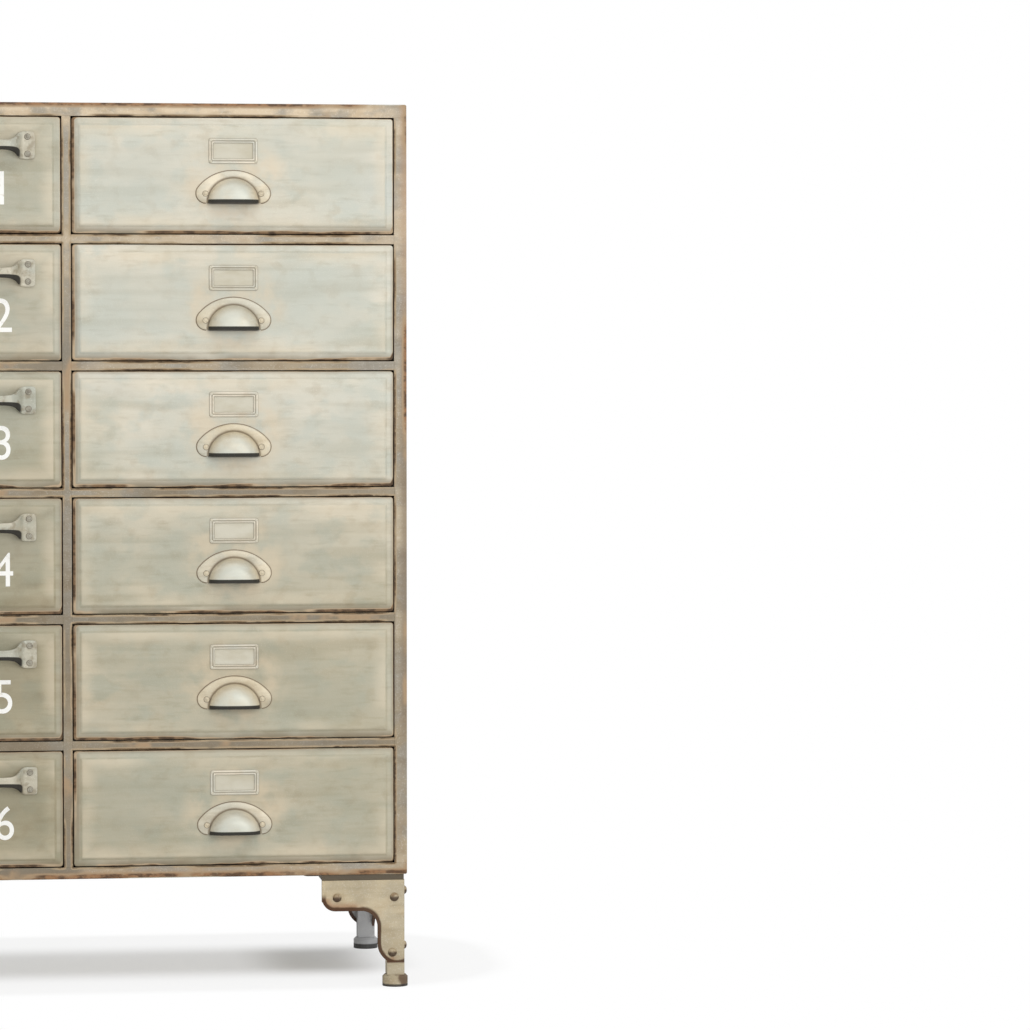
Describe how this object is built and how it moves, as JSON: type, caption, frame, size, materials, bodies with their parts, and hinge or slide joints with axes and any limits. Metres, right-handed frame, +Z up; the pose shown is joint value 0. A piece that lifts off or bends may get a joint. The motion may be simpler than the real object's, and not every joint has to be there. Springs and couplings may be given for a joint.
{
  "type": "chest of drawers",
  "caption": "Floor-standing sheet-steel cabinet of drawers in a narrow middle column and two wide ones, with cup and bar pulls, on riveted corner legs.",
  "frame": {"origin": "on the floor, at the centre of the overall footprint", "axes": "+Z up, from the feet to the top panel. The drawers pull out towards -Y. +X is to the right of someone who faces the drawers."},
  "size_m": [1.1246, 0.4503, 1.2],
  "materials": {
    "carcass": "worn, rust at the edges",
    "drawer_fronts": "worn, satin",
    "drawer_trays": "dull",
    "bare_steel": "dull",
    "legs": "worn, rust at the edges"
  },
  "bodies": {
    "carcass": {"top_panel": "carcass", "bottom_panel": "carcass", "side_panel_left": "carcass", "side_panel_right": "carcass", "back_panel": "carcass", "partitions": "carcass", "cross_rails": "carcass", "drawer_runners": "bare_steel", "leg_brackets": "legs", "leg_posts": "legs", "leg_feet": "legs"},
    "drawer_left_1": {"drawer_front_left_1": "drawer_fronts", "drawer_tray_left_1": "drawer_trays", "label_holder_left_1": "drawer_fronts"},
    "drawer_left_2": {"drawer_front_left_2": "drawer_fronts", "drawer_tray_left_2": "drawer_trays", "label_holder_left_2": "drawer_fronts"},
    "drawer_left_3": {"drawer_front_left_3": "drawer_fronts", "drawer_tray_left_3": "drawer_trays", "label_holder_left_3": "drawer_fronts"},
    "drawer_left_4": {"drawer_front_left_4": "drawer_fronts", "drawer_tray_left_4": "drawer_trays", "label_holder_left_4": "drawer_fronts"},
    "drawer_left_5": {"drawer_front_left_5": "drawer_fronts", "drawer_tray_left_5": "drawer_trays", "label_holder_left_5": "drawer_fronts"},
    "drawer_left_6": {"drawer_front_left_6": "drawer_fronts", "drawer_tray_left_6": "drawer_trays", "label_holder_left_6": "drawer_fronts"},
    "drawer_middle_1": {"drawer_front_middle_1": "drawer_fronts", "drawer_tray_middle_1": "drawer_trays"},
    "drawer_middle_2": {"drawer_front_middle_2": "drawer_fronts", "drawer_tray_middle_2": "drawer_trays"},
    "drawer_middle_3": {"drawer_front_middle_3": "drawer_fronts", "drawer_tray_middle_3": "drawer_trays"},
    "drawer_middle_4": {"drawer_front_middle_4": "drawer_fronts", "drawer_tray_middle_4": "drawer_trays"},
    "drawer_middle_5": {"drawer_front_middle_5": "drawer_fronts", "drawer_tray_middle_5": "drawer_trays"},
    "drawer_middle_6": {"drawer_front_middle_6": "drawer_fronts", "drawer_tray_middle_6": "drawer_trays"},
    "drawer_right_1": {"drawer_front_right_1": "drawer_fronts", "drawer_tray_right_1": "drawer_trays", "label_holder_right_1": "drawer_fronts"},
    "drawer_right_2": {"drawer_front_right_2": "drawer_fronts", "drawer_tray_right_2": "drawer_trays", "label_holder_right_2": "drawer_fronts"},
    "drawer_right_3": {"drawer_front_right_3": "drawer_fronts", "drawer_tray_right_3": "drawer_trays", "label_holder_right_3": "drawer_fronts"},
    "drawer_right_4": {"drawer_front_right_4": "drawer_fronts", "drawer_tray_right_4": "drawer_trays", "label_holder_right_4": "drawer_fronts"},
    "drawer_right_5": {"drawer_front_right_5": "drawer_fronts", "drawer_tray_right_5": "drawer_trays", "label_holder_right_5": "drawer_fronts"},
    "drawer_right_6": {"drawer_front_right_6": "drawer_fronts", "drawer_tray_right_6": "drawer_trays", "label_holder_right_6": "drawer_fronts"}
  },
  "joints": [
    {"name": "pull_out_left_1", "type": "slide", "parent": "carcass", "child": "drawer_left_1", "axis": [0, -1, 0], "range_m": [0, 0.3]},
    {"name": "pull_out_left_2", "type": "slide", "parent": "carcass", "child": "drawer_left_2", "axis": [0, -1, 0], "range_m": [0, 0.3]},
    {"name": "pull_out_left_3", "type": "slide", "parent": "carcass", "child": "drawer_left_3", "axis": [0, -1, 0], "range_m": [0, 0.3]},
    {"name": "pull_out_left_4", "type": "slide", "parent": "carcass", "child": "drawer_left_4", "axis": [0, -1, 0], "range_m": [0, 0.3]},
    {"name": "pull_out_left_5", "type": "slide", "parent": "carcass", "child": "drawer_left_5", "axis": [0, -1, 0], "range_m": [0, 0.3]},
    {"name": "pull_out_left_6", "type": "slide", "parent": "carcass", "child": "drawer_left_6", "axis": [0, -1, 0], "range_m": [0, 0.3]},
    {"name": "pull_out_middle_1", "type": "slide", "parent": "carcass", "child": "drawer_middle_1", "axis": [0, -1, 0], "range_m": [0, 0.3]},
    {"name": "pull_out_middle_2", "type": "slide", "parent": "carcass", "child": "drawer_middle_2", "axis": [0, -1, 0], "range_m": [0, 0.3]},
    {"name": "pull_out_middle_3", "type": "slide", "parent": "carcass", "child": "drawer_middle_3", "axis": [0, -1, 0], "range_m": [0, 0.3]},
    {"name": "pull_out_middle_4", "type": "slide", "parent": "carcass", "child": "drawer_middle_4", "axis": [0, -1, 0], "range_m": [0, 0.3]},
    {"name": "pull_out_middle_5", "type": "slide", "parent": "carcass", "child": "drawer_middle_5", "axis": [0, -1, 0], "range_m": [0, 0.3]},
    {"name": "pull_out_middle_6", "type": "slide", "parent": "carcass", "child": "drawer_middle_6", "axis": [0, -1, 0], "range_m": [0, 0.3]},
    {"name": "pull_out_right_1", "type": "slide", "parent": "carcass", "child": "drawer_right_1", "axis": [0, -1, 0], "range_m": [0, 0.3]},
    {"name": "pull_out_right_2", "type": "slide", "parent": "carcass", "child": "drawer_right_2", "axis": [0, -1, 0], "range_m": [0, 0.3]},
    {"name": "pull_out_right_3", "type": "slide", "parent": "carcass", "child": "drawer_right_3", "axis": [0, -1, 0], "range_m": [0, 0.3]},
    {"name": "pull_out_right_4", "type": "slide", "parent": "carcass", "child": "drawer_right_4", "axis": [0, -1, 0], "range_m": [0, 0.3]},
    {"name": "pull_out_right_5", "type": "slide", "parent": "carcass", "child": "drawer_right_5", "axis": [0, -1, 0], "range_m": [0, 0.3]},
    {"name": "pull_out_right_6", "type": "slide", "parent": "carcass", "child": "drawer_right_6", "axis": [0, -1, 0], "range_m": [0, 0.3]}
  ]
}
